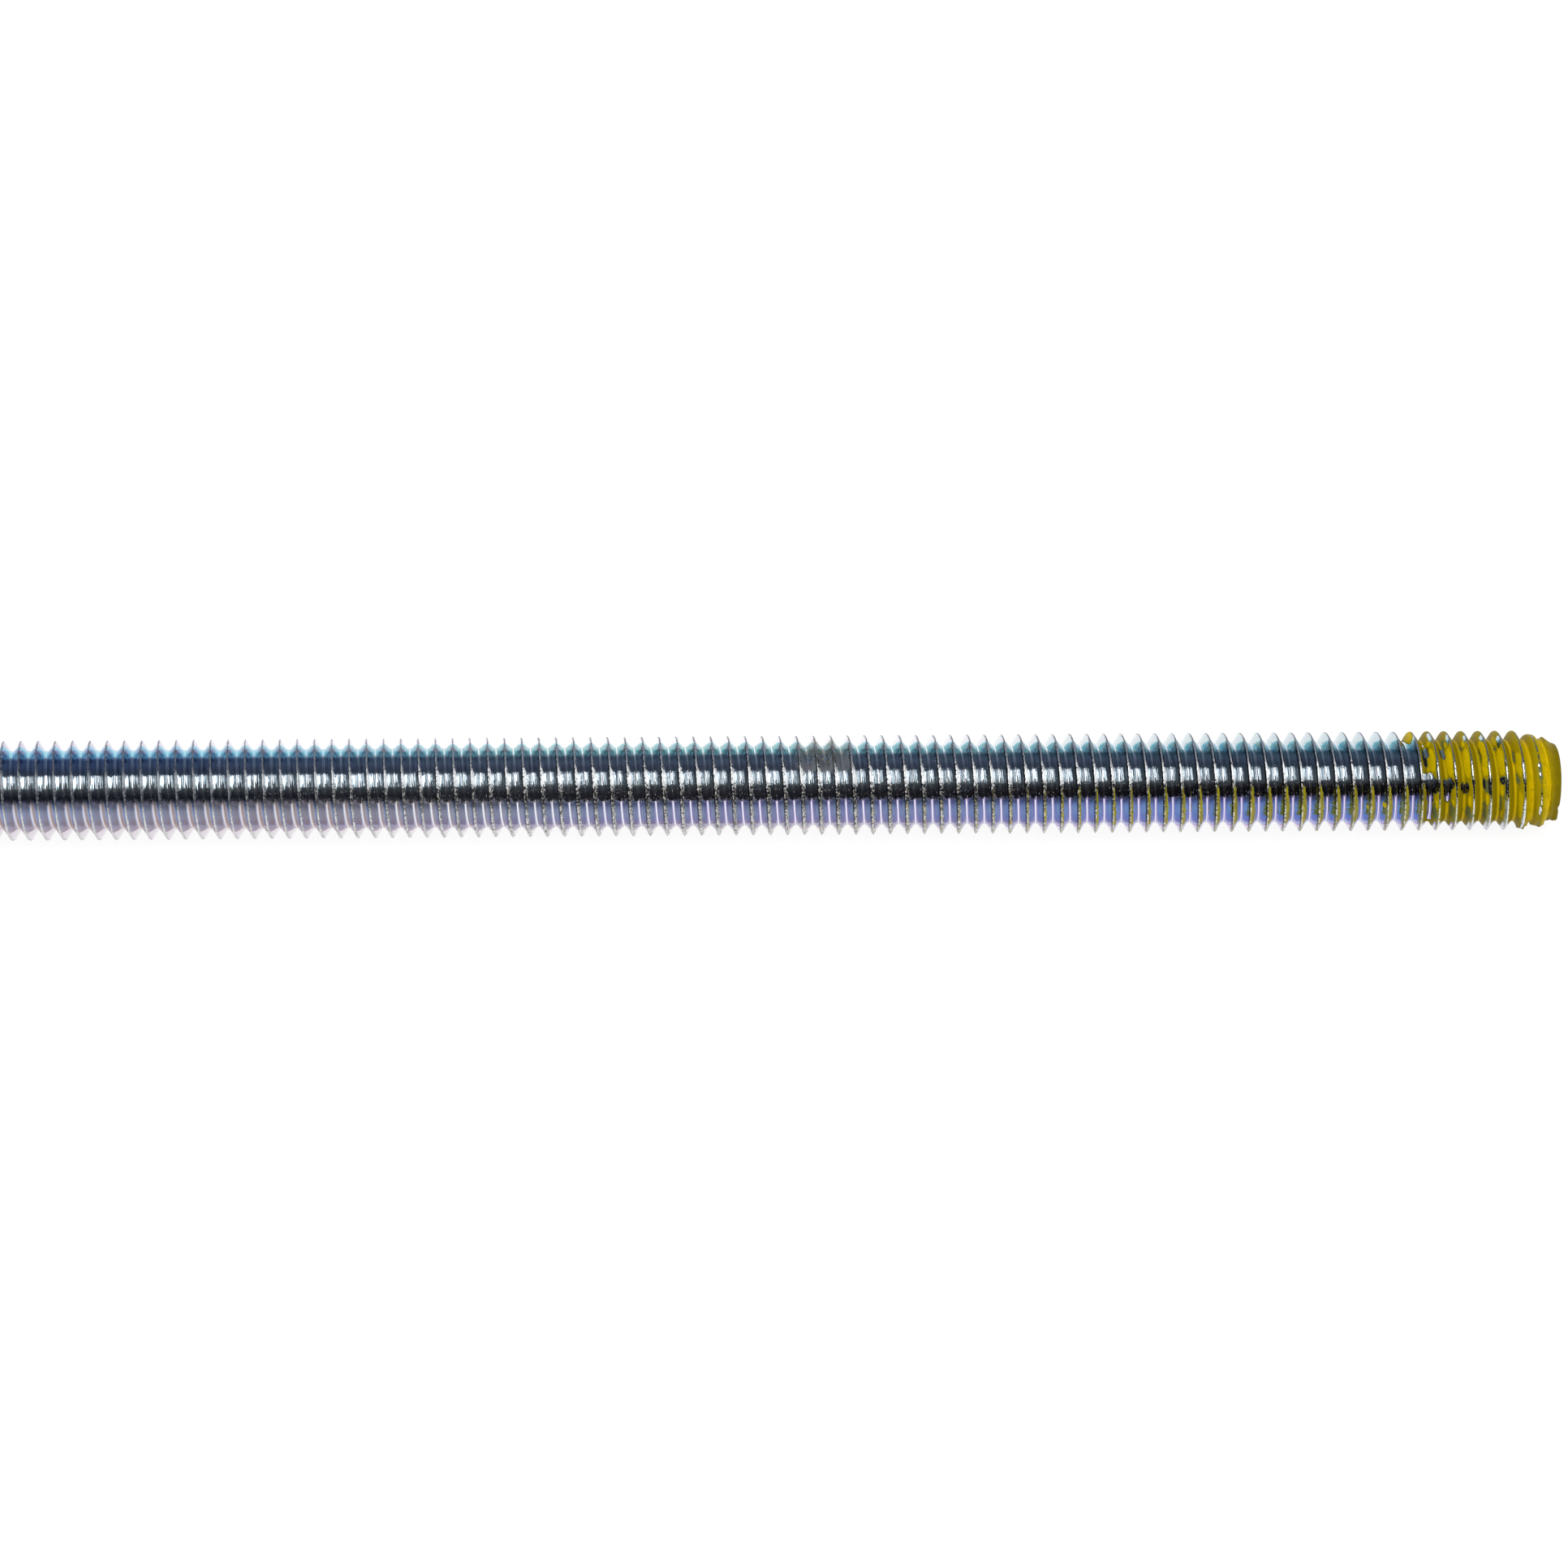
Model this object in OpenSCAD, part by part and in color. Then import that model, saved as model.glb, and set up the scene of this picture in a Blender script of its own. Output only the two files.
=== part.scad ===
// Metric threaded rod: a stud with a right-hand ISO thread over its whole length and a
// tapered point at each end. All sizes are in millimetres.
// The rod lies along X, with the middle of its axis at the origin and +Z up.

/* [Rod] */
// Overall length, from end face to end face
rod_length = 100; // [20:1:150]
// Diameter over the crests, for an M6 thread rolled to tolerance 6g
major_d = 5.84; // [4:0.02:8]

/* [Thread] */
// Axial distance from one crest to the next
pitch = 1; // [0.7:0.05:1.5]
// Distance from the +X end face back to the nearest crest on the top of the rod
first_crest = 0.43; // [0:0.01:1]

/* [Points] */
// Length of the tapered point at each end
point_length = 2.45; // [0.5:0.05:6]
// How much the taper takes off the radius by the end face
point_drop = 0.51; // [0.1:0.01:0.8]
// Chamfer around the edge of each end face
edge_chamfer = 0.25; // [0.05:0.01:0.4]

/* [Smoothness] */
// Number of flat facets shared out along the helix
thread_facets = 9900; // [3000:100:11000]

/* [Hidden] */

// ISO metric profile with 60 degree flanks, all in proportion to the pitch
sharp_height = pitch * sqrt(3) / 2;    // the full V, before crest and root are cut short
crest_cut = sharp_height / 8;          // taken off the tip, which leaves a land of pitch / 8
thread_depth = sharp_height * 17 / 24; // from the crest down to the root
root_land = pitch / 6;                 // flat width at that depth
crest_r = major_d / 2;
root_r = crest_r - thread_depth;

// The helix runs past both end faces, and the blank cuts it to length
facets_per_step = 6; // two flanks and a root, with two triangles each
runout = 3;          // turns past the +X end, so that all of the helix's closed end is cut off
turns = ceil(rod_length / pitch) + runout;
steps_per_turn = max(8, floor(thread_facets / facets_per_step / turns));
steps = turns * steps_per_turn;
top_angle = 180; // where the top of the rod is, while its axis still stands along Z
helix_start = rod_length / 2 - first_crest - climb(top_angle) - (turns - runout) * pitch;

// The chord between two steps lies inside its arc, so the corners lie as far outside it
chord_gain = 2 / (1 + cos(180 / steps_per_turn));

// One pitch of the surface as [place along the axis, radius]: two root corners and a sharp tip
profile = [
    [-(pitch + root_land) / 2, root_r * chord_gain],
    [-(pitch - root_land) / 2, root_r * chord_gain],
    [0, (crest_r + crest_cut) * chord_gain]
];
corners = len(profile);

// How far the thread climbs along the axis over an angle
function climb(angle) = pitch * angle / 360;

// The profile's corner number c after s steps around the axis
function helix_point(s, c) =
    let (angle = 360 * s / steps_per_turn)
    [
        profile[c][1] * cos(angle),
        profile[c][1] * sin(angle),
        helix_start + climb(angle) + profile[c][0]
    ];

// Its place in the list of points. Past the tip comes the first root corner of the next turn,
// and the last turn's root is all there is beyond the last full step.
function index(s, c) =
    c == corners ? index(s + steps_per_turn, 0)
    : s <= steps ? corners * s + c
    : corners * (steps + 1) + s - steps - 1;

// A full-length thread with sharp crests and closed ends, along Z
module sharp_thread() {
    last_root = [for (s = [steps + 1:steps + steps_per_turn]) helix_point(s, 0)];
    ends = [for (s = [0, steps]) [0, 0, helix_point(s, 0)[2] + pitch / 2]];
    points = concat(
        [for (s = [0:steps], c = [0:corners - 1]) helix_point(s, c)],
        last_root,
        ends
    );
    first_centre = len(points) - 2;
    last_centre = len(points) - 1;
    flanks = [
        for (s = [0:steps - 1], c = [0:corners - 1])
            each [
                [index(s, c), index(s, c + 1), index(s + 1, c + 1)],
                [index(s, c), index(s + 1, c + 1), index(s + 1, c)]
            ]
    ];
    first_step = [for (c = [0:corners - 1]) [first_centre, index(0, c + 1), index(0, c)]];
    first_cap = [
        for (s = [0:steps_per_turn - 1]) [first_centre, index(s, 0), index(s + 1, 0)]
    ];
    last_step = [for (c = [0:corners - 1]) [last_centre, index(steps, c), index(steps, c + 1)]];
    last_cap = [
        for (s = [steps:steps + steps_per_turn - 1])
            [last_centre, index(s + 1, 0), index(s, 0)]
    ];
    polyhedron(points, concat(flanks, first_step, first_cap, last_step, last_cap), 10);
}

// The turned bar that the thread is formed in, along Z: round crests, points and end faces
module blank() {
    half = rod_length / 2;
    end_r = crest_r - point_drop;
    half_outline = [
        [crest_r, half - point_length],
        [end_r, half - edge_chamfer],
        [end_r - edge_chamfer, half],
        [0, half]
    ];
    rotate_extrude($fn = 96)
        polygon([
            each half_outline,
            for (i = [len(half_outline) - 1:-1:0]) [half_outline[i][0], -half_outline[i][1]]
        ]);
}

module threaded_rod() {
    color("silver")
        rotate([0, 90, 0])
            intersection() {
                sharp_thread();
                blank();
            }
}

threaded_rod();
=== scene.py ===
"""Looks for a zinc-plated M6 threaded rod with a painted end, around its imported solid.

Blender works in metres. The thread is worked out in millimetres, as a thread is specified, and
every length is turned into metres by MM when it goes into a mesh or a material.

Angles round the rod ("round") are in degrees, from 0 at the viewer's side (-Y) over 90 at the
top to 180 at the back.
"""

import math

import bmesh
import bpy
import numpy as np
from mathutils import Matrix, Vector, noise


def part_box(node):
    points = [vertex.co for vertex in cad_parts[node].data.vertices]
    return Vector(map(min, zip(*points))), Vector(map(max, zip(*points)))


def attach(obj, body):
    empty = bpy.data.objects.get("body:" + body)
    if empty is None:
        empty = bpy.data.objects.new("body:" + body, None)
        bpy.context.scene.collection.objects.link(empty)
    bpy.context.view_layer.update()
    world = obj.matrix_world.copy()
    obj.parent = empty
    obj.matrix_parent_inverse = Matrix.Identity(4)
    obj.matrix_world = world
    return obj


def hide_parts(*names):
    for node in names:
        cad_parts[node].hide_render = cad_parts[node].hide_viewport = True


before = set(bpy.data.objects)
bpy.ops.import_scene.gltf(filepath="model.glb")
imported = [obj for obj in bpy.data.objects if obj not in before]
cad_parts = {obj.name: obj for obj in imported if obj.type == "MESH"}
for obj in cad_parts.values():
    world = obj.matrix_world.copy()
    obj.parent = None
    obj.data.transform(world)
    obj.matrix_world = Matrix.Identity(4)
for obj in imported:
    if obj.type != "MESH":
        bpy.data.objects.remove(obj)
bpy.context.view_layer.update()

MM = 0.001
NODE = "threaded_rod"
BODY = "root"
VIEW_DEGREES = 45  # where round the rod the viewer stands

# The thread, in millimetres. These repeat the driving sizes of the part.
PITCH = 1.0
FIRST_CREST = 0.43  # from the +X end face back to the nearest crest on the top of the rod
POINT_LENGTH = 2.45
POINT_DROP = 0.51
EDGE_CHAMFER = 0.25

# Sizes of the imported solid, in millimetres
low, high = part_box(NODE)
HALF_LENGTH = (high.x - low.x) / 2 / MM
PAINT_SPACE = 0.012  # left inside the solid's outline, for the paint
CREST_R = (high.z - low.z) / 2 / MM - PAINT_SPACE
FACE_PAINT = 0.09  # the steel stops this far short of the painted end face
INSIDE = 0.0005  # how far the paint stays inside the solid's box
BEVEL_LENGTH, BEVEL_R, BEVEL_SLOPE = 0.75, 2.50, 0.72  # of the painted end, past its taper

# The rolled profile: its flanks open a little wider than nominal, so that its crests are narrow
FLANK_ANGLE = math.radians(32.5)
FLANK_SLOPE = math.tan(FLANK_ANGLE)
CREST_LAND = 0.06
ROOT_BOTTOM_R = 2.32
SHARP_ROOT_R = CREST_R - (PITCH - CREST_LAND) / 2 / FLANK_SLOPE
ROOT_ARC_R = (ROOT_BOTTOM_R - SHARP_ROOT_R) / (1 / math.sin(FLANK_ANGLE) - 1)
ROOT_TANGENT_R = SHARP_ROOT_R + ROOT_ARC_R * math.cos(FLANK_ANGLE) ** 2 / math.sin(FLANK_ANGLE)
ROOT_ARC_SHARES = (0, 0.25, 0.5, 0.75, 1)
ROOT_MARGIN = 0.01  # keeps the lowest crests of the points above the root's rounding
CREST_EDGE = 0.05  # how far down the rounding of the crest reaches
# The rounding of the crest: shares of its half width, and how far below its top they are
CREST_ROUNDING = ((1, CREST_EDGE), (0.68, 0.02), (0.35, 0.005), (0, 0))
CUT_TOLERANCE = 1e-8

# Turns of the helix, steps in each turn, and how far up each flank its corners are
ROD_TURNS, ROD_STEPS, ROD_FLANK = (-100.6, 1.2), 44, (0.1, 0.5, 0.9)
FILM_TURNS, FILM_STEPS, FILM_FLANK = (-9.6, 0.4), 128, (0.07, 0.2, 0.33, 0.46, 0.59, 0.72, 0.84, 0.95)


# ---- thread shape


def blank_radius(x):
    """Radius of the turned blank at x along the axis: a cylinder with two tapered points."""
    from_end = HALF_LENGTH - np.abs(x)
    taper = (POINT_LENGTH - from_end) / (POINT_LENGTH - EDGE_CHAMFER)
    chamfer = np.maximum(EDGE_CHAMFER - from_end, 0)
    point = CREST_R - POINT_DROP * np.clip(taper, 0, 1) - chamfer
    bevel = BEVEL_R - BEVEL_SLOPE * (BEVEL_LENGTH - from_end)
    return np.where(x > 0, np.minimum(point, np.maximum(bevel, 0)), point)


def ridge_half_width(radius):
    """Half the width of the ridge at a radius, where its two flanks are."""
    return CREST_LAND / 2 + (CREST_R - radius) * FLANK_SLOPE


def crest_centre(turn):
    """Place along the axis of the crest's middle, turn 0 being the last on the rod's top."""
    return HALF_LENGTH - FIRST_CREST + PITCH * turn


def profile(crest_r, flank_shares):
    """One pitch of the surface from root to root, as offsets along the axis and radii.

    crest_r is an array of crest radii, one for each step, and flank_shares says how far up the
    flank its corners are; the results are [step, corner].
    """
    offsets, radii = [], []
    for share in ROOT_ARC_SHARES:
        a = share * (math.pi / 2 - FLANK_ANGLE)
        offsets.append(np.full_like(crest_r, -PITCH / 2 + ROOT_ARC_R * math.sin(a)))
        radii.append(np.full_like(crest_r, ROOT_BOTTOM_R + ROOT_ARC_R * (1 - math.cos(a))))
    lowest = ROOT_TANGENT_R + ROOT_MARGIN
    shoulder = np.maximum(crest_r - CREST_EDGE, lowest)
    for share in flank_shares:
        r = ROOT_TANGENT_R + share * (shoulder - ROOT_TANGENT_R)
        offsets.append(-ridge_half_width(r))
        radii.append(r)
    for share, drop in CREST_ROUNDING:
        offsets.append(-ridge_half_width(shoulder) * share)
        radii.append(np.maximum(crest_r - drop, lowest))
    for k in range(len(offsets) - 2, 0, -1):  # the other half mirrors this one
        offsets.append(-offsets[k])
        radii.append(radii[k])
    return np.array(offsets).T, np.array(radii).T


def full_pitch():
    """Offsets along the axis and radii of the full thread, from one root to the next."""
    offsets, radii = profile(np.array([CREST_R]), ROD_FLANK)
    return np.append(offsets[0], offsets[0, 0] + PITCH), np.append(radii[0], radii[0, 0])


def across_profile():
    """Distance over the surface from the crest's middle to each corner, and to the next root."""
    x, r = full_pitch()
    along = np.concatenate([[0], np.cumsum(np.hypot(np.diff(x), np.diff(r)))])
    return along - along[-1] / 2


def thread_grid(turns, steps_per_turn, flank_shares):
    """Axial place, radius and angle of the thread's surface, as arrays [step, corner]."""
    steps = round((turns[1] - turns[0]) * steps_per_turn)
    turn = turns[0] + np.arange(steps + steps_per_turn + 1) / steps_per_turn
    centre = crest_centre(turn)
    offsets, radii = profile(blank_radius(centre), flank_shares)
    x = centre[:, None] + offsets
    r = np.minimum(radii, blank_radius(x))
    angle = np.broadcast_to((math.pi / 2 + 2 * math.pi * turn)[:, None], x.shape)
    return x, r, angle, steps


def thread_quads(steps, corners, steps_per_turn):
    """Vertex numbers of the quads of a helical strip, and the step and corner of each."""

    def index(s, c):
        over = c == corners  # the last corner of a step is the first, one turn on
        s = s + over * steps_per_turn
        return s * corners + np.where(over, 0, c)

    s, c = np.meshgrid(np.arange(steps), np.arange(corners), indexing="ij")
    s, c = s.ravel(), c.ravel()
    quads = [index(s, c), index(s, c + 1), index(s + 1, c + 1), index(s + 1, c)]
    return np.stack(quads, 1), s, c


def cartesian(x, r, angle):
    """Points in metres from places along and round the rod."""
    return np.stack([x, r * np.cos(angle), r * np.sin(angle)], axis=-1) * MM


def mesh_of(name, verts, faces):
    """A mesh from arrays, without the vertices that no face uses."""
    used, faces = np.unique(faces, return_inverse=True)
    mesh = bpy.data.meshes.new(name)
    mesh.from_pydata(verts[used].tolist(), [], faces.reshape(-1, 4).tolist())
    return mesh, used


def turn_outward(mesh, change=None):
    """Turns a mesh's faces outward, after a change to it as a bmesh."""
    bm = bmesh.new()
    bm.from_mesh(mesh)
    if change:
        change(bm)
    bmesh.ops.recalc_face_normals(bm, faces=bm.faces[:])
    bm.to_mesh(mesh)
    bm.free()
    return mesh


def cut_end(bm, side, x):
    """Cuts the thread off flat at x and closes it there with a sharp-edged face."""
    cut = bmesh.ops.bisect_plane(
        bm,
        geom=bm.verts[:] + bm.edges[:] + bm.faces[:],
        dist=CUT_TOLERANCE,
        plane_co=(side * x * MM, 0, 0),
        plane_no=(side, 0, 0),
        clear_outer=True,
    )
    rim = [e for e in cut["geom_cut"] if isinstance(e, bmesh.types.BMEdge)]
    made = bmesh.ops.contextual_create(bm, geom=rim)
    for part in rim + made["faces"]:
        part.smooth = False


def cut_ends(bm):
    cut_end(bm, -1, HALF_LENGTH - 2 * INSIDE)
    cut_end(bm, 1, HALF_LENGTH - FACE_PAINT)


def rod_mesh():
    """The steel, with the distances round it and across its thread, in millimetres, as its UVs."""
    x, r, angle, steps = thread_grid(ROD_TURNS, ROD_STEPS, ROD_FLANK)
    corners = x.shape[1]
    quads, s, c = thread_quads(steps, corners, ROD_STEPS)
    mesh, _ = mesh_of("rod_thread", cartesian(x, r, angle).reshape(-1, 3), quads)
    across = across_profile()
    round_length = 2 * math.pi * CREST_R / ROD_STEPS
    u = np.stack([s, s, s + 1, s + 1], 1) * round_length
    v = across[np.stack([c, c + 1, c + 1, c], 1)]
    uv = mesh.uv_layers.new(name="thread")
    uv.uv.foreach_set("vector", np.stack([u, v], -1).astype(np.float32).ravel())
    mesh.shade_smooth()
    return turn_outward(mesh, cut_ends)


# ---- paint shape

# Patches of the paint, read off the front of the rod: the number of the groove they are in, from
# the painted end back; the place across it in percent, from its left crest to its right one; the
# angle round the rod; half of the width and of the angle; and how much paint they add or take.
BARE_PATCHES = (
    (-8, 93, 112, 9, 13, 2.6), (-8, 52, 106, 5, 5, 2.4), (-8, 48, 89, 22, 11, 3),
    (-8, 42, 48, 38, 9, 3), (-8, 55, 39, 40, 12, 3), (-8, 48, 27, 22, 13, 3), (-8, 50, -4, 15, 28, 3),
    (-8, 78, 2, 16, 18, 0.42), (-7, 93, 107, 8, 10, 2.6), (-7, 74, 103, 22, 12, 0.42),
    (-7, 44, 87, 20, 10, 3), (-7, 55, 41, 33, 8, 3), (-7, 49, 30, 21, 11, 3), (-7, 47, 18, 13, 5, 3),
    (-7, 76, 0, 18, 18, 0.42), (-6, 93, 107, 7, 8, 2.4), (-6, 68, 98, 14, 10, 0.42),
    (-6, 38, 37, 10, 7, 2.8), (-6, 64, 36, 12, 7, 2.8), (-6, 52, 31, 20, 4, 2.8),
    (-6, 50, 38, 10, 5, 0.5), (-6, 75, -2, 18, 14, 0.42), (-5, 92, 106, 8, 9, 2.2),
    (-5, 66, 82, 5, 16, 1.6), (-5, 82, 38, 18, 11, 0.45), (-5, 70, 4, 13, 20, 0.42),
    (-5, 92, -4, 10, 22, 1.4), (-4, 88, 104, 10, 10, 2.4), (-4, 80, 96, 5, 5, 2.2),
    (-4, 62, 95, 8, 6, 0.42), (-4, 83, 29, 12, 12, 0.42), (-4, 63, 5, 8, 22, 0.42),
    (-4, 93, -3, 10, 26, 2.4), (-3, 61, 80, 10, 13, 0.5), (-3, 67, 47, 12, 10, 0.5),
    (-3, 95, -3, 8, 24, 2.6), (-2, 94, 2, 5, 8, 2.4),
)
THICK_PATCHES = (
    (-9, 77, 126, 20, 21, 2.4), (-8, 75, 73, 15, 19, 0.8), (-8, 76, 101, 7, 5, 1),
    (-8, 86, 15, 6, 6, 0.9), (-7, 77, 71, 15, 21, 0.8), (-7, 75, 99, 7, 6, 1), (-7, 83, 17, 6, 5, 0.9),
    (-6, 77, 70, 15, 22, 0.8), (-6, 77, 99, 8, 6, 1), (-6, 80, 18, 9, 8, 0.9),
    (-5, 79, 78, 15, 30, 0.7), (-5, 81, 21, 8, 9, 0.8), (-4, 77, 69, 15, 22, 0.7),
    (-4, 72, 112, 9, 14, 0.6), (-4, 71, 31, 8, 9, 1.2), (-4, 71, -6, 6, 7, 0.9),
    (-3, 79, 67, 15, 18, 0.6), (-3, 78, 10, 12, 24, 0.5),
)
# Patches of painted dark reflection: their tone is taken down to near-black, as the dark room mirrored in
# bare metal
DARK_REFLECTION_PATCHES = (
    (-8, 36, 76, 19, 13, 1.6), (-7, 37, 84, 13, 5, 1.6), (-5, 68, 41, 5, 8, 1.6),
    (-5, 93, 38, 5, 10, 1.6), (-4, 76, 46, 14, 5, 1.6), (-4, 76, 45, 6, 2.2, -1.4),
    (-4, 91, 35, 4, 9, 1.6),
)
BARE_SOFTNESS, THICK_SOFTNESS = 0.3, 0.15  # the share of a patch that its edge takes up
USUAL = 0.62  # how much paint lies between the patches
COAT_GROOVES, COAT_EDGE = 8, 3  # grooves that the coat fills, and how steeply it ends there

# Lumps of the paint: their size in millimetres, and the seed of their noise
COARSE_LUMPS, FINE_LUMPS, DRIP_LUMPS = (0.9, 1), (0.2, 2), (0.24, 8)
CAP_LUMPS, FACE_LUMPS = (0.7, 5), (0.9, 6)

# Thickness of the coat in millimetres, by how much paint there is: where there is none, its
# outside lies a little deep in the steel
FULL, THIN, BELOW = 0.030, 0.010, -0.02
COAT_THICKNESS = ((-0.2, BELOW), (0.0, 0.0), (0.35, THIN), (1.0, FULL))
COAT_TONE = ((0, 0.03), (0.25, 0.18), (0.42, 0.42), (0.85, 0.55), (0.97, 0.68), (1.25, 0.72), (1.4, 0.84))
# Pools in the roots, by distance from the end face: how deep they are, and the paint they add
POOL_DEPTH = ((1.5, 0.24), (3.0, 0.12))
POOL_PAINT = ((1.0, 0.11), (3.0, 0.06), (8.0, 0.03))
# Tone of the pooled paint in the roots, real pooling raised into a painted highlight, and of the last
# grooves
POOL_AND_HIGHLIGHT_TONE, LAST_TONE = 0.46, 0.42
# Wear of the paint on the crests: how wide it is by degrees, and where it sets in behind the face
CREST_WEAR = (
    (-60, 0.1), (-10, 0.1), (15, 0.06), (38, 0.07), (46, 0.12), (64, 0.12), (72, 0.05), (120, 0.02),
)
WEAR_START = 0.3, 2.4
# The tips below the front, bare beyond the first grooves: by degrees, radius and grooves
BARE_BELOW, BARE_RADIUS, BARE_GROOVES, BARE_END = (14, 24), (2.58, 2.7), (-5.6, -4.6), -100
# The paint that hangs under the end: middle and width in degrees, where it sets in, and its most
HANG_ROUND, HANG_START, HANG_LIMIT = (-48, 22), (2.3, 1.9), 0.25
CAP_TAKES_OVER = 0.55, 0.8
COARSE_AMOUNT, FINE_AMOUNT = 0.22, 0.12  # what the lumps add to the paint, or take from it


def groove_place(x, angle):
    """Number of the groove, place across it from 0 to 1, and degrees round the rod."""
    degrees = (180 - np.degrees(angle) + 180) % 360 - 180
    across = (x - (HALF_LENGTH - FIRST_CREST)) / PITCH - (90 - degrees) / 360
    return np.floor(across), across % 1, degrees


def lumps(x, r, angle, size, seed):
    """Smooth noise of about -1 to 1 over a grid of places, in lumps of a size in millimetres."""
    points = np.stack([x, r * np.cos(angle), r * np.sin(angle)], -1).reshape(-1, 3)
    offset = Vector((seed * 7.3, seed * 3.1, seed * 5.7))
    return np.array([noise.noise(Vector(p) / size + offset) for p in points]).reshape(x.shape)


def between(value, start, end):
    """0 before start, 1 after end, straight between them."""
    return np.clip((value - start) / (end - start), 0, 1)


def bell(value, middle, width):
    return np.exp(-(((value - middle) / width) ** 2))


def curve(value, table):
    """Values by a table of pairs, straight from each pair to the next."""
    return np.interp(value, *zip(*table))


def patches(amount, table, sign, softness, place, fine):
    """The amount of paint with a table's patches added to it, or taken from it."""
    groove, across, degrees = place
    for number, middle, angle, wide, tall, most in table:
        away = np.abs((100 * across - middle) / wide) ** 3 + np.abs((degrees - angle) / tall) ** 3
        away = np.cbrt(away) + 0.3 * fine
        amount = amount + np.where(groove == number, sign * most * between(away, 1, 1 - softness), 0)
    return amount


def bare_tips(r, grooves, degrees):
    tips = between(-degrees, *BARE_BELOW) * between(r, *BARE_RADIUS)
    return tips * between(grooves, *BARE_GROOVES) * (degrees > BARE_END)


def worn_crests(x, across, degrees, fine):
    width = curve(degrees, CREST_WEAR)
    worn = between(np.minimum(across, 1 - across), width, 0.6 * width)
    return worn * between(HALF_LENGTH - x, *WEAR_START) * (1.3 + 1.8 * fine)


def film_amount(x, r, angle):
    """How much paint there is: none below 0, thin about 0.3, usual about 0.6, thick from 1.

    With it comes the tone that the patches of painted dark reflection take from it.
    """
    place = groove_place(x, angle)
    groove, across, degrees = place
    coarse, fine = (lumps(x, r, angle, *kind) for kind in (COARSE_LUMPS, FINE_LUMPS))
    unseen = np.abs(degrees - VIEW_DEGREES) > 90
    front = groove + across + COAT_GROOVES + 0.5 * coarse * unseen
    amount = np.minimum(USUAL, front * COAT_EDGE) + COARSE_AMOUNT * coarse + FINE_AMOUNT * fine
    amount = patches(amount, BARE_PATCHES, -1, BARE_SOFTNESS, place, fine)
    amount = patches(amount, THICK_PATCHES, 1, THICK_SOFTNESS, place, 0.5 * fine)
    dark_reflection = patches(0 * amount, DARK_REFLECTION_PATCHES, -1, BARE_SOFTNESS, place, fine)
    amount = amount - 2 * bare_tips(r, -front, degrees)
    return amount - worn_crests(x, across, degrees, fine), dark_reflection


def film_thickness(x, r, angle):
    """Paint in millimetres, and its tone: thin and olive at 0, bright at 0.75, ochre at 1."""
    amount, dark_reflection = film_amount(x, r, angle)
    _, across, degrees = groove_place(x, angle)
    from_end = HALF_LENGTH - x
    depth = curve(from_end, POOL_DEPTH)
    pool = between(r, ROOT_BOTTOM_R + depth, ROOT_BOTTOM_R) * np.clip(amount, 0, 1)
    thickness = curve(amount, COAT_THICKNESS) + pool * curve(from_end, POOL_PAINT)
    high_up = between(degrees, 15, 55) * between(from_end, 3.2, 4.6)
    # pooled paint in the roots, its tone raised into a painted highlight along the root against the
    # groove's shade
    line = between(r, ROOT_BOTTOM_R + 0.5 * depth, ROOT_BOTTOM_R) * between(amount, 0.1, 0.4)
    pooled = POOL_AND_HIGHLIGHT_TONE * line * (1 - 0.3 * high_up)
    last = (LAST_TONE * bell(across, 0.33, 0.25) - 0.02) * between(from_end, 3.0, 2.3)
    return thickness, curve(amount, COAT_TONE) + np.maximum(pooled, last) + dark_reflection


def hanging_paint(x, r, angle):
    """The drop of paint that hangs under the end, in millimetres."""
    _, _, degrees = groove_place(x, angle)
    drop = (0.05 + 0.22 * lumps(x, r, angle, *DRIP_LUMPS)).clip(0, HANG_LIMIT)
    return bell(degrees, *HANG_ROUND) * between(HALF_LENGTH - x, *HANG_START) * drop


def film_mesh():
    """The paint on the thread: a closed thin shell wherever there is any."""
    x, r, angle, steps = thread_grid(FILM_TURNS, FILM_STEPS, FILM_FLANK)
    thickness, tone = film_thickness(x, r, angle)
    thickness = thickness + hanging_paint(x, r, angle) * (thickness > 0)
    thickness = BELOW + (thickness - BELOW) * between(HALF_LENGTH - x, *CAP_TAKES_OVER)
    quads, _, _ = thread_quads(steps, x.shape[1], FILM_STEPS)
    kept = quads[(thickness.ravel()[quads] > 0).any(axis=1)]
    slope = np.gradient(r, axis=1) / np.gradient(x, axis=1)
    lean = 1 / np.hypot(slope, 1)

    def shifted(by):
        """The steel's surface moved out along its normal."""
        top = np.minimum(r + by * lean, high.z / MM - INSIDE)
        return cartesian(x - by * slope * lean, top, angle).reshape(-1, 3)

    outside = shifted(np.maximum(thickness, BELOW))
    inside = shifted(np.full_like(thickness, 2 * BELOW))
    return closed_shell("paint_film", outside, inside, kept, tone.ravel())


def closed_shell(name, outside, inside, quads, tone):
    """A shell from an outer and an inner sheet of the same quads, walled along its borders."""
    ring = np.stack([quads, np.roll(quads, -1, axis=1)], -1).reshape(-1, 2)
    key = np.sort(ring, axis=1)
    _, where, count = np.unique(key, axis=0, return_inverse=True, return_counts=True)
    border = ring[count[where.ravel()] == 1]
    walls = np.stack([border[:, 1], border[:, 0], border[:, 0], border[:, 1]], 1)
    walls[:, 2:] += len(outside)
    faces = np.concatenate([quads, quads[:, ::-1] + len(outside), walls])
    mesh, used = mesh_of(name, np.concatenate([outside, inside]), faces)
    layer = mesh.attributes.new("tone", "FLOAT", "POINT")
    layer.data.foreach_set("value", np.tile(tone, 2)[used].astype(np.float32))
    turn_outward(mesh).shade_smooth()
    return mesh


def thread_radius(x, angle):
    """Radius of the steel at any place along and round the rod."""
    _, across, _ = groove_place(x, angle)
    offset = np.where(across > 0.5, across - 1, across) * PITCH
    return np.minimum(np.interp(offset, *full_pitch()), blank_radius(x))


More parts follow.
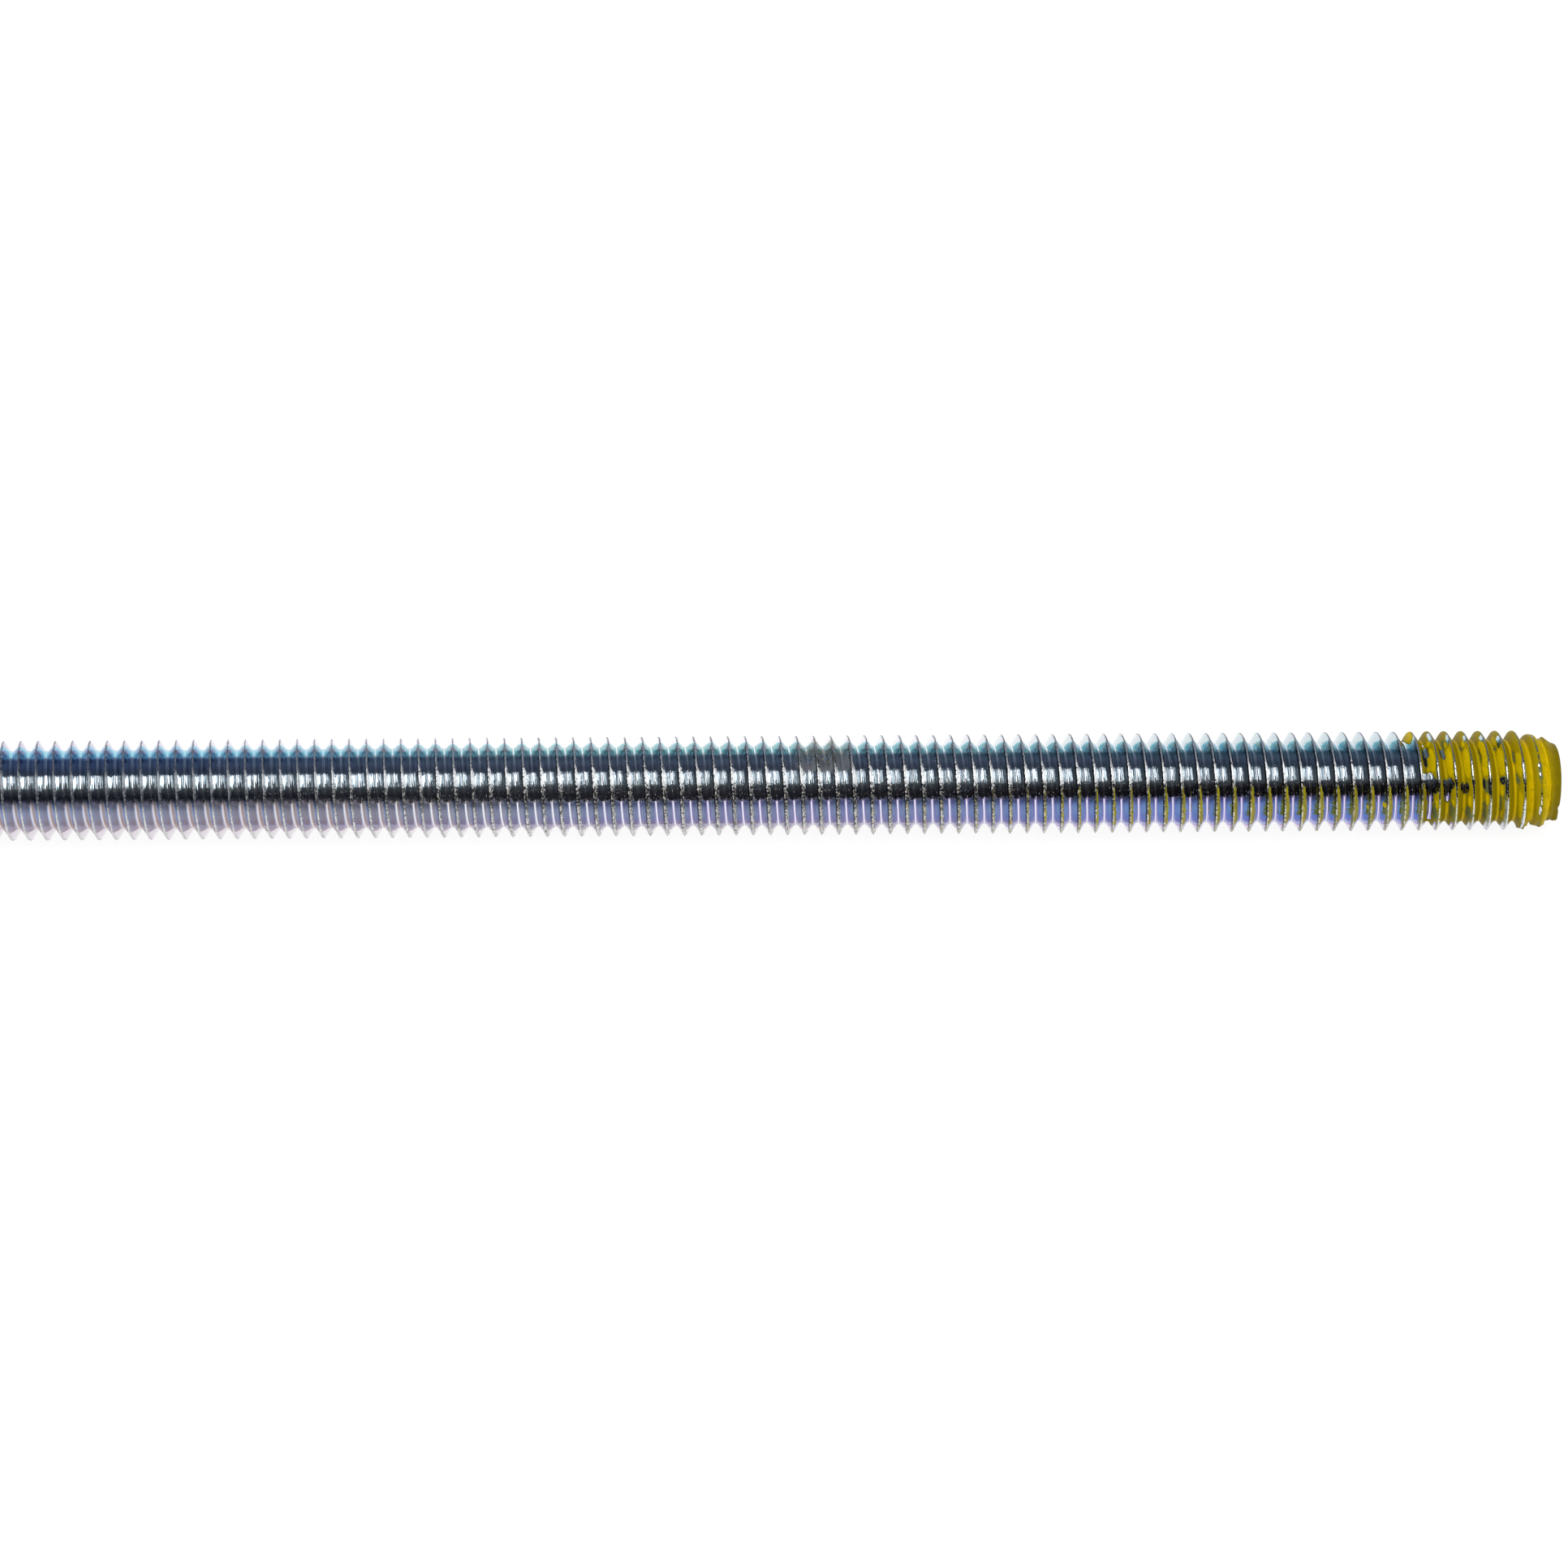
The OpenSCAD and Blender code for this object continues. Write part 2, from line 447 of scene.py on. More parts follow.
# The cap, in millimetres and degrees. It has rings over the last of the thread (the sleeve), and
# rings by distance from the end face and radius over the rim and the face.
CAP_STEPS = 240
CAP_BACK = 0.95  # how far back from the end face the cap reaches
SLEEVE_RINGS = np.concatenate([np.linspace(CAP_BACK, 0.2, 26), np.linspace(0.17, 0.06, 5)])
FACE_RINGS = np.array(
    [(0.035, 2.10), (0.018, 2.07), (0.007, 2.02), (0.002, 1.93)]
    + [(0.002, r) for r in (1.8, 1.5, 1.2, 0.9, 0.6, 0.3, 0.0)]
)
# By distance from the end face: how far the sleeve's paint reaches out, how far the drip hangs, how deep
# the sleeve dips under the film, and its tone, darker towards the end face as painted shade
CAP_OUTLINE = (
    (0, 2.1), (0.07, 2.14), (0.17, 2.19), (0.26, 2.22), (0.36, 2.25), (0.55, 2.42), (0.75, 2.55), (0.9, 9),
)
CAP_DRIP = ((0.06, 0.26), (0.25, 0.2), (0.4, 0.06), (0.55, 0))
CAP_DIP = ((0.78, 0), (CAP_BACK, -0.5))
CAP_SHADED_TONE = ((0.06, 1.38), (0.2, 1.36), (0.3, 1.3), (0.45, 1.2), (0.55, 1.15), (0.8, 1.1))
CAP_COAT, CAP_THINNEST, CAP_FILLED_R = 0.035, 0.03, 2.335
CAP_INSIDE, CAP_DEEP = (0.93, 0.92), 0.06  # its inner sheet: shares of the outer one, and depth
DRIP_ROUND = -32, 15  # middle and width, in degrees
NOTCHES = ((0.09, -8, 6), (-0.03, -27, 9))  # dents of the rim: depth, middle and width in degrees
# The end face's tone is dark, as painted shade
FACE_SHADED_TONE, FACE_COAT = 1.38, 0.006


def cap_sleeve(angle):
    """Places, radii of the steel and of the paint, and tones of the sleeve, as [ring, step]."""
    rings = SLEEVE_RINGS[:, None]
    x = HALF_LENGTH - rings + 0 * angle
    around = angle + 0 * x
    steel = thread_radius(x, around)
    lump = lumps(x, steel, around, *CAP_LUMPS)
    _, _, degrees = groove_place(x, around)
    outer = np.maximum(steel + CAP_COAT + 0.015 * lump, CAP_FILLED_R + 0.03 * lump)
    outer = np.minimum(outer, curve(rings, CAP_OUTLINE) + 0.02 * lump)
    outer = np.maximum(outer, steel + CAP_THINNEST)
    outer += curve(rings, CAP_DRIP) * bell(degrees, *DRIP_ROUND) + curve(rings, CAP_DIP)
    return x, steel, outer, curve(rings, CAP_SHADED_TONE) + 0.12 * lump


def cap_face(angle, notch, rim_r):
    """Places, radii and tones over the rim and the face, as [ring, step], to meet the sleeve."""
    back, radius = FACE_RINGS[:, :1], FACE_RINGS[:, 1:]
    lump = lumps(0 * angle[0], 2, angle[0], *FACE_LUMPS)
    away = radius / radius[0]  # from the middle of the face
    x = HALF_LENGTH - back - (FACE_COAT + FACE_COAT * lump + np.maximum(notch, 0)) * away**6
    scale = rim_r / (radius[0] + 0.035)
    return x, radius * (1 + (scale - 1) * away**4), FACE_SHADED_TONE + 0.08 * lump + 0 * x


def cap_mesh():
    """The paint over the end face, its rounded rim and the last of the thread."""
    angle = (np.arange(CAP_STEPS) / CAP_STEPS * 2 * math.pi)[None, :]
    _, _, degrees = groove_place(0 * angle, angle)
    notch = sum(depth * bell(degrees, middle, width) for depth, middle, width in NOTCHES)
    x, steel, outer, tone = cap_sleeve(angle)
    x = x - notch * between(SLEEVE_RINGS, 0.4, 0.05)[:, None]
    x_face, r_face, face_tone = cap_face(angle, notch, outer[-1:])
    x_all = np.concatenate([x, x_face])
    around = angle + 0 * x_all
    top = np.minimum(x_all, HALF_LENGTH - INSIDE)
    outside = cartesian(top, np.concatenate([outer, r_face]), around).reshape(-1, 3)
    shorter, narrower = CAP_INSIDE
    shrunk = x_all[0] + (x_all - x_all[0]) * shorter
    inside_r = np.concatenate([steel - CAP_DEEP, FACE_RINGS[:, 1:] * narrower + 0 * x_face])
    inside = cartesian(shrunk, inside_r, around).reshape(-1, 3)
    tones = np.concatenate([tone, face_tone]).ravel()
    return closed_shell("paint_cap", outside, inside, ring_quads(len(x_all), CAP_STEPS), tones)


def ring_quads(rings, steps):
    """Vertex numbers of the quads between closed rings."""
    i, j = (k.ravel() for k in np.meshgrid(np.arange(rings - 1), np.arange(steps), indexing="ij"))
    ring, next_ring, next_step = i * steps, (i + 1) * steps, (j + 1) % steps
    return np.stack([ring + j, next_ring + j, next_ring + next_step, ring + next_step], 1)


def link(name, data):
    """Adds a new object to the scene."""
    obj = bpy.data.objects.new(name, data)
    bpy.context.scene.collection.objects.link(obj)
    return obj


def add(name, mesh, material):
    mesh.materials.append(material)
    return link(name, mesh)


# ---- materials


class Graph:
    """The nodes of a material. Each call adds a node and gives back what comes out of it."""

    def __init__(self, owner):
        owner.use_nodes = True
        self.nodes, self.links = owner.node_tree.nodes, owner.node_tree.links

    def put(self, socket, value):
        """Links a socket to a value that comes out of a node, or sets it to a constant."""
        if isinstance(value, bpy.types.NodeSocket):
            self.links.new(value, socket)
        elif isinstance(value, tuple) and socket.type == "RGBA":
            socket.default_value = (*value, 1)
        else:
            socket.default_value = value

    def node(self, kind, *values, out=0, **settings):
        """Adds a node with some settings, fills its inputs in their order, gives back an output."""
        made = self.nodes.new("ShaderNode" + kind)
        for key, value in settings.items():
            setattr(made, key, value)
        for socket, value in zip([s for s in made.inputs if s.enabled], values):
            self.put(socket, value)
        return [s for s in made.outputs if s.enabled][out]

    def math(self, operation, *values):
        return self.node("Math", *values, operation=operation)

    def minus(self, a, b):
        return self.math("SUBTRACT", a, b)

    def scaled(self, value, by, plus):
        """value x by + plus"""
        return self.math("MULTIPLY_ADD", value, by, plus)

    def step(self, value, start, end):
        """0 before start and 1 after end, smooth between them."""
        return self.node("MapRange", value, start, end, 0.0, 1.0, interpolation_type="SMOOTHSTEP")

    def both(self, first, *others):
        for value in others:
            first = self.math("MULTIPLY", first, value)
        return first

    def blend(self, share, a, b):
        """a where the share is 0 and b where it is 1, as colours or as numbers."""
        kind = "RGBA" if isinstance(a, tuple) or getattr(a, "type", "") == "RGBA" else "FLOAT"
        return self.node("Mix", share, a, b, data_type=kind)

    def noise(self, at, scale, detail, roughness):
        return self.node("TexNoise", at, scale, detail, roughness)

    def ramp(self, value, stops):
        """Colours, or greys from numbers, straight from each stop to the next."""
        stops = [(place, (*colour * (3 // len(colour)), 1)) for place, *colour in stops]
        out = self.node("ValToRGB", value)
        elements = out.node.color_ramp.elements
        for (place, colour), element in zip((stops[0], stops[-1]), elements):
            element.position, element.color = place, colour
        for place, colour in stops[1:-1]:
            elements.new(place).color = colour
        return out

    def bump(self, height, distance, normal=None):
        made = self.nodes.new("ShaderNodeBump")
        made.inputs["Distance"].default_value = distance
        self.put(made.inputs["Height"], height)
        if normal is not None:
            self.links.new(normal, made.inputs["Normal"])
        return made.outputs["Normal"]


def round_the_rod(graph, at):
    """Share of a turn round the rod: 0.5 at the front, 0.75 at the top, 0 and 1 at the back."""
    _, y, z = (graph.node("SeparateXYZ", at, out=k) for k in range(3))
    turn = graph.math("ARCTAN2", z, graph.math("MULTIPLY", y, -1.0))
    return graph.math("ADD", graph.math("DIVIDE", turn, 2 * math.pi), 0.5)


def share_of(degrees):
    """The same share of a turn from degrees round the rod."""
    return degrees / 360 + 0.5


def ramp_round(graph, angle, stops):
    """Colours, or greys, by an angle, from stops of (degrees, colour)."""
    return graph.ramp(angle, [(share_of(degrees), *colour) for degrees, *colour in stops])


# Colours of the passivated zinc round the rod, by degrees: its own tints, with painted light and shade in
# bands, dark where the metal mirrors the dark room, pale where it mirrors the softboxes and the white
# floor, and teal high up
BACK = ((-180, 0.6, 0.62, 0.68), (-84, 0.62, 0.62, 0.68))
SHEEN = ((45, 0.56, 0.62, 0.65), (66, 0.57, 0.62, 0.66))
FAR_BACK = ((155, 0.62, 0.63, 0.7), (180, 0.6, 0.62, 0.68))
FLANK_TINTS_AND_PAINTED_LIGHT = {
    "left": (
        *BACK, (-36, 0.4, 0.33, 0.4), (-14, 0.42, 0.39, 0.48), (-2, 0.43, 0.48, 0.66),
        (4, 0.47, 0.56, 0.78), (14, 0.43, 0.54, 0.76), (22, 0.24, 0.33, 0.52),
        (30, 0.36, 0.4, 0.54), *SHEEN, (72, 0.44, 0.51, 0.64), (88, 0.34, 0.42, 0.6),
        (94, 0.25, 0.35, 0.53), (102, 0.25, 0.35, 0.54), (104.5, 0.16, 0.44, 0.7),
        (110, 0.22, 0.38, 0.62), (136, 0.22, 0.38, 0.62), *FAR_BACK,
    ),
    "middle": (
        *BACK, (-38, 0.43, 0.25, 0.42), (-25, 0.4, 0.35, 0.48), (-14, 0.38, 0.38, 0.55),
        (-4, 0.4, 0.43, 0.58), (4, 0.45, 0.49, 0.6), (14, 0.38, 0.43, 0.54), (22, 0.18, 0.22, 0.3),
        (30, 0.62, 0.62, 0.65), *SHEEN, (72, 0.58, 0.6, 0.68), (86, 0.46, 0.52, 0.6),
        (93, 0.29, 0.37, 0.43), (101.5, 0.27, 0.37, 0.43), (104, 0.1, 0.55, 0.62),
        (106, 0.26, 0.5, 0.52), (136, 0.26, 0.5, 0.54), *FAR_BACK,
    ),
    "right": (
        *BACK, (-40, 0.42, 0.24, 0.66), (-27, 0.29, 0.36, 0.69), (-14, 0.28, 0.38, 0.7),
        (4, 0.35, 0.5, 0.74), (14, 0.32, 0.45, 0.7), (22, 0.14, 0.175, 0.29),
        (30, 0.28, 0.28, 0.31), (40, 0.32, 0.32, 0.34), *SHEEN, (72, 0.52, 0.58, 0.66),
        (88, 0.42, 0.52, 0.58), (94, 0.25, 0.41, 0.47), (100, 0.19, 0.41, 0.46),
        (104.5, 0.19, 0.42, 0.47), (136, 0.19, 0.42, 0.47), *FAR_BACK,
    ),
}
# Colours of the bright grains of the bruised crests, by degrees, with painted light: white where the
# highlight falls and dark in the dark bands
CREST_BRUISE_AND_LIGHT_COLOURS = (
    (-180, 0.5, 0.5, 0.51), (-10, 0.76, 0.76, 0.76), (14, 0.68, 0.68, 0.66), (24, 0.5, 0.48, 0.44),
    (38, 0.6, 0.59, 0.54), (46, 1.0, 1.0, 1.0), (66, 1.0, 1.0, 1.0), (74, 0.42, 0.46, 0.52),
    (96, 0.3, 0.35, 0.46), (116, 0.55, 0.6, 0.76), (140, 0.58, 0.62, 0.72), (180, 0.5, 0.5, 0.51),
)
GOLD = (0.42, 0.36, 0.05)  # of the grains that keep some paint
# Colours by degrees of the crests far from the paint, painted greyer with painted light, brightest where
# the highlight falls and dark above it; and of their dark pits, painted lighter low on the front where the
# metal mirrors the white floor
FAR_CREST_PAINTED_LIGHT = (
    (30, 0.26, 0.27, 0.29), (44, 0.34, 0.36, 0.38), (58, 0.4, 0.42, 0.45), (68, 0.13, 0.14, 0.17),
)
PIT_COLOURS = ((16, 0.13, 0.125, 0.115), (28, 0.02, 0.02, 0.028))
# How far the bruises reach down the right flank, by millimetres along the rod, the share of it by degrees,
# and how many of their grains are bright, by degrees; by degrees the bruises are painted wider and
# brighter where the highlight falls
SEAM_REACH = ((-30, 0.11), (-18, 0.14), (-6, 0.25), (10, 0.26), (20, 0.22), (34, 0.12), (50, 0.1))
SEAM_SWELL = (
    (30, 0.9), (45, 1.5), (57, 1.5), (66, 0.8), (76, 0.42), (94, 0.26), (104, 0.3),
    (124, 0.3), (136, 0.1),
)
CREST_GRAINS = (
    (-30, 0.6), (16, 0.57), (28, 0.48), (44, 0.51), (51, 0.7), (62, 0.66), (70, 0.53), (94, 0.5),
    (104, 0.66),
)
SILVER_GRAINS = 0.08
# How much light the line in the root takes up, by degrees, and what is left of it far left
ROOT_LIGHT = ((18, 1), (30, 0.2), (88, 0.15), (98, 1), (124, 1), (132, 0))
DIM_ROOTS = 0.45
# The smudge by degrees, and the colours of painted glints: light specks in the dark band, by their noise
STAIN_COLOURS = ((76, 0.03, 0.027, 0.02), (92, 0.1, 0.094, 0.075), (106, 0.17, 0.165, 0.14))
GLINT_SPECK_COLOURS = ((0.38, 0.35, 0.42, 0.7), (0.5, 0.55, 0.5, 0.52), (0.66, 0.5, 0.36, 0.16))

# Splashes of paint beyond the coat: place along the rod, degrees round it, distance from the axis
# and radius, with the lengths in millimetres
PAINT_DOTS = (
    (33.75, 29, 2.68, 0.22), (39.5, 13.5, 2.68, 0.28), (38.6, 11, 2.68, 0.18),
    (32.3, 102, 2.68, 0.16), (6.97, 85, 2.36, 0.13),
)
DOT_EDGE, DOT_RAGGED = 0.05, 0.1
WIPE_RIGHT = (0.34, 0.29, 0.008), (0.6, 0.51, 0.003)  # between the stripes of a wipe and on them
WIPE_LEFT = (0.14, 0.17, 0.06), (0.28, 0.27, 0.05)
# painted sheen: the blue and the white lines high up near the roots, between their stripes and on them
HIGH_SHEEN_LINES = (0.26, 0.58, 0.8), (0.95, 0.98, 1.0)

# Noises drawn out along the thread: scales along and across it, detail and roughness
STREAKS = dict(
    wobble=(0.9, 3.0, 2.0, 0.5), stain=(0.22, 8.0, 3.0, 0.6), drawn=(0.2, 6.0, 2.0, 0.6),
    bright=(0.3, 9.0, 1.0, 0.5), dashes=(4.0, 16.0, 1.0, 0.5), ragged=(4.0, 5.0, 4.0, 0.7),
    stripes=(0.3, 12.0, 2.0, 0.5), smear=(0.5, 9.0, 3.0, 0.6), scores=(0.03, 9.0, 1.0, 0.5),
)
# Noises that are alike every way: scale, detail and roughness
GRAINS = dict(
    chips=(8000.0, 2.0, 0.6), pits=(7500.0, 2.0, 0.65), gilding=(6000.0, 1.0, 0.5),
    dents=(4500.0, 2.0, 0.6), motes=(3000.0, 1.0, 0.5), clouds=(1800.0, 3.0, 0.6),
    blotches=(2600.0, 3.0, 0.65), paint_specks=(9000.0, 1.0, 0.5), paint_dents=(5000.0, 2.0, 0.5),
)
ROOT = float(across_profile()[-1])  # distance over the surface from the crest to the root
# Zones, each where all of its fields say: a field's first two numbers are where it begins and is
# full, and the other two where it fades and is gone. "angle" is in degrees, "along" in millimetres,
# and "v" and "across" are millimetres over the surface from the crest, positive on the right flank,
# and without the sign. The others are noises, and fields that the layers below set.
ZONES = dict(
    low_streaks=dict(angle=(-14, 8, 24, 34), stain=(0.5, 0.66)), upper=dict(angle=(66, 72, 90, 98)),
    light_streaks=dict(drawn=(0.52, 0.68)), dark_streaks=dict(drawn=(0.44, 0.34)),
    crown=dict(across=(0.6, 0.4), angle=(89, 94, 97, 99.5)), humped=dict(along=(0, 30)),
    above=dict(angle=(172, 158)), tips=dict(past=(0, 0.004)), tip_rim=dict(past=(-0.012, -0.002)),
    glow=dict(across=(ROOT - 0.7, ROOT - 0.15), angle=(99, 104, 116, 128), along=(-10, -30)),
    high_up=dict(angle=(99, 103), v=(0.34, 0.46), along=(0, 30)), high_lines=dict(bright=(0.5, 0.58)),
    lower=dict(angle=(-30, -18, 20, 34)), far_left=dict(along=(-12, -32)),
    tan=dict(v=(-0.84, -0.78, -0.42, -0.26), along=(-4, -26)), lowered=dict(v=(0, 0.1), along=(5, 30)),
    beneath=dict(angle=(-84, -66)), low_tips=dict(under=(0, 0.005)),
    low_rim=dict(under=(-0.014, -0.003)),
    violet=dict(across=(ROOT - 0.13, ROOT - 0.08), along=(-14, 2)),
    plain=dict(along=(-5, -25), angle=(24, 34, 92, 100)),
    dim_roots=dict(along=(-15, -32), angle=(88, 96)), cyan_roots=dict(angle=(94, 100), along=(-8, -30)),
    root=dict(depth=(ROOT - 0.04, ROOT - 0.018)),
    bruised=dict(past_seam=(0.02, -0.02), edge=(-0.07, -0.035)),
    shadowed=dict(v=(-0.22, -0.15), edge=(-0.015, -0.05), along=(-35, 0), angle=(108, 98)),
    beyond=dict(v=(0.03, 0.07, 0.18, 0.26), angle=(66, 72, 100, 110), along=(15, 30)),
    gold=dict(along=(0, 20, 43.6, 44.2), angle=(46, 20), gilding=(0.5, 0.58)),
    silver=dict(along=(40.5, 42), angle=(24, 14)), bright_grains=dict(grains=(1, 1.08)),
    ridge=dict(edge=(0.06, 0.02)), ridged=dict(angle=(66, 74), along=(-36, -20)),
    topmost=dict(angle=(96, 103), along=(-25, -5)), near=dict(along=(-34, -8)),
    soft=dict(angle=(22, 32)), dusty=dict(angle=(20, 34)), rugged=dict(along=(42.5, 40)),
    scuffed=dict(along=(43.8, 44.4), angle=(26, 16), v=(-0.45, -0.3, 0.06, 0.12), chips=(0.4, 0.48)),
    sawn=dict(along=(-49.96, -49.98)),
    smudge=dict(along=(5, 6.4, 7.6, 9), angle=(58, 76, 108, 120), clouds=(0.34, 0.5)),
    dirty=dict(angle=(20, 26, 40, 50)), specks=dict(over=(0, 0.04), along=(-60, -10)),
    wiped_right=dict(v=(0.02, 0.05), past_right=(0.04, 0), angle=(-20, -13, 36, 44)),
    wiped_left=dict(v=(-0.03, -0.06), past_left=(0.04, 0), angle=(-28, -12, 8, 28)),
    stripes=dict(stripes=(0.38, 0.6)), gaps=dict(chips=(0.43, 0.38)),
    smooth=dict(v=(0, 0.1, 0.7, 0.8), along=(-10, -30)),
)
# Numbers that change straight with a field: the field, its start and end, and the numbers there
GRADES = dict(
    slant=("angle", 30, 80, 0.034, 0), low_streaks=("along", -30, 30, 0.12, 0.5),
    crown=("along", 0, 40, 0.85, 0.4), steep=("along", -30, -5, 20 / 360, 40 / 360),
    low_rim=("along", -30, 10, 0.35, 0.9), root=("along", -30, -5, 0.012, 0),
    chips=("along", 12, 30, 0.36, 0.18), length=("along", -HALF_LENGTH, HALF_LENGTH, 0, 1),
    specks=("dirt", 0, 1, 0.755, 0.69), wipe_round=("angle", 44, 8, 0.45, 1),
    wipe_right=("along", 12, 34, -0.16, 0.56), wipe_left=("along", 28, 42.5, -0.2, 0.36),
    dents=("along", -40, 0, 0.3, 1),
)
# What lies over the tints: colour, strength and dullness. A colour that changes along the rod has
# between its colours the millimetres from which and up to which each turns into the next.
# Of these, the dark crown, the cyan rim, the glow, the pale tips above and below and the dark lines beside
# the seams are painted light and shade; the rest are marks and tints
LAYERS = dict(
    low_streaks=((0.2, 0.24, 0.52),), light_streaks=((0.48, 0.56, 0.66), 0.55),
    dark_streaks=((0.1, 0.14, 0.2), 0.6), crown=(((0.07, 0.1, 0.19), (-35, 0), (0.055, 0.09, 0.13)),),
    tip_rim=((0.2, 0.6, 0.72), 0.6), glow=((0.28, 0.65, 0.79), 0.8),
    tips=(((0.55, 0.52, 0.66), (-40, -8), (0.86, 0.85, 0.9), (0, 35), (0.55, 0.65, 0.69)),),
    tan=((0.74, 0.52, 0.38), 0.68, 0.7),
    low_rim=(((0.42, 0.26, 0.28), (-40, -10), (0.44, 0.22, 0.28), (5, 25), (0.4, 0.14, 0.58)),),
    low_tips=(((0.73, 0.68, 0.74), (-30, 0), (0.78, 0.77, 0.8), (5, 30), (0.6, 0.54, 0.7)),),
    violet=((0.36, 0.26, 0.58), 0.7), shadowed=((0.02, 0.022, 0.035), 0.85),
    beyond=((0.03, 0.03, 0.045),), scuffed=((0.7, 0.71, 0.76), 1, 0.7), sawn=((0.6, 0.61, 0.65),),
    gaps=((0.05, 0.05, 0.02), 0.8), splash=((0.55, 0.4, 0.001), 1, 1),
)
ROOT_COLOURS = ((0.72, 0.66, 0.7), (-30, -5), (0.93, 0.93, 0.95), (15, 35), (0.72, 0.68, 0.82))
CYAN, CYAN_STRENGTH = (0.4, 0.74, 0.86), 0.9
FLANKS_CHANGE = (-40, -8), (0, 40)
SLANT_MIDDLE = 0.45  # distance from the crest at which the bands of the flanks are where they say
# Boundaries of the tips, in degrees: start and slant of the upper ones on the left, top, middle
# and fall of their hump on the right; start of the lower ones, and how much lower on the right
TIP_START, TIP_SLANT = 104.5, 27
HUMP_TOP, HUMP_MIDDLE, HUMP_FALL = 109, 0.62, -26
LOW_TIP_START, LOW_TIP_FALL = -12, -20
TINT_WOBBLE, TIP_WOBBLE = 0.010, 0.008  # of the bands and boundaries, as shares of a turn
LINES_STRENGTH, SMUDGE_STRENGTH, LEFT_WIPE_STRENGTH = 0.9, 0.75, 0.8
# Shine of the crests on the ridge and on top, and their contrast far left, in front and above
RIDGE_SHINE, TOP_SHINE, LEFT_CONTRAST = 0.8, 0.3, (0.3, 0.75)
RUGGED_DULL, GLINT_SPECK_DULL, MOST_DULL, SPECULAR = 0.65, 0.9, -0.85, 0.15
# Roughness of the metal and what smears and the far left add to it, of crests, sawn face and
# paint; and the depth of the relief in millimetres
SMOOTH, SMEARED, FAR_LEFT, CRESTS, SAWN, PAINTED = 0.05, 0.10, 0.2, 0.22, 0.3, 0.42
SCORE_DEPTH, DENT_DEPTH, PIT_DEPTH = 0.016, 0.012, 0.03


class RodGraph(Graph):
    """The steel's graph: its colour, its dullness, and the fields that zones are made of."""

    def __init__(self, owner):
        super().__init__(owner)
        self.coords = self.nodes.new("ShaderNodeTexCoord").outputs["Object"]
        self.uv = self.node("UVMap", uv_map="thread")
        v = self.node("SeparateXYZ", self.uv, out=1)
        self.fields = {
            "angle": round_the_rod(self, self.coords),
            "along": self.node("SeparateXYZ", self.coords),
            "v": v,
            "across": self.math("ABSOLUTE", v),
        }
        self.colour, self.dull = None, 0.0

    def __setitem__(self, name, socket):
        self.fields[name] = socket

    def __getitem__(self, name):
        """A field, or a noise that becomes one."""
        if name in GRAINS and name not in self.fields:
            self[name] = self.noise(self.coords, *GRAINS[name])
        if name in STREAKS and name not in self.fields:
            along, across, *rest = STREAKS[name]
            at = self.node("VectorMath", self.uv, (along, across, 1.0), operation="MULTIPLY")
            self[name] = self.noise(at, 1.0, *rest)
        return self.fields[name]

    def span(self, name, start, end):
        """A field, and two of its values in the field's own units."""
        if name == "angle":
            return self[name], share_of(start), share_of(end)
        unit = MM if name == "along" else 1
        return self[name], start * unit, end * unit

    def within(self, name, start, full, *fade):
        inside = self.step(*self.span(name, start, full))
        return self.both(inside, self.within(name, *reversed(fade))) if fade else inside

    def zone(self, *names):
        """1 where all of the named zones hold, 0 outside them."""
        spans = ((field, *ends) for name in names for field, ends in ZONES[name].items())
        return self.both(*(self.within(*span) for span in spans))

    def grade(self, name):
        *span, first, last = GRADES[name]
        return self.node("MapRange", *self.span(*span), first, last)

    def around(self, stops, angle=None):
        """Colours or numbers by degrees round the rod."""
        return ramp_round(self, self["angle"] if angle is None else angle, stops)

    def wobbled(self, value, most):
        return self.scaled(self.minus(self["wobble"], 0.5), most, value)

    def tint(self, colour):
        """A colour as it is, or one that changes along the rod."""
        if isinstance(colour, tuple) and not isinstance(colour[0], (int, float)):
            colour, *rest = colour
            for span, following in zip(rest[::2], rest[1::2]):
                colour = self.blend(self.step(*self.span("along", *span)), colour, following)
        return colour

    def lay(self, mask, colour, strength=1.0, dull=0.0):
        """Lays a colour over the metal where the mask says, and dulls the metal there."""
        if strength < 1:
            mask = self.both(mask, strength)
        self.colour = self.blend(mask, self.colour, self.tint(colour))
        if dull:
            self.dim(mask, dull)
        return mask

    def lay_zone(self, name, *others):
        """Lays a named layer over its zone, by its grade if it has one."""
        mask = self.zone(name, *others)
        mask = self.both(mask, self.grade(name)) if name in GRADES else mask
        self.lay(mask, *LAYERS[name])

    def dim(self, mask, dull):
        self.dull = self.math("MAXIMUM", self.both(mask, dull), self.dull)


def tints_and_painted_light(g):
    """The passivation's tints with painted light and shade, in bands round the rod that meet at a slant to
    the axis.
    """
    slant = g.scaled(g.minus(g["across"], SLANT_MIDDLE), g.grade("slant"), g["angle"])
    at = g.wobbled(slant, TINT_WOBBLE)
    left, middle, right = (g.around(stops, at) for stops in FLANK_TINTS_AND_PAINTED_LIGHT.values())
    first, second = FLANKS_CHANGE
    g.colour = g.tint((left, first, middle, second, right))


def streaks(g):
    """Streaks along the grooves, and painted shade: a dark crown just in front of the upper tips."""
    g.lay_zone("low_streaks")
    g.lay_zone("light_streaks", "upper")
    g.lay_zone("dark_streaks", "upper")
    # painted shade: a dark band across each ridge just below the upper tips, where the metal mirrors the
    # dark room
    g.lay_zone("crown")


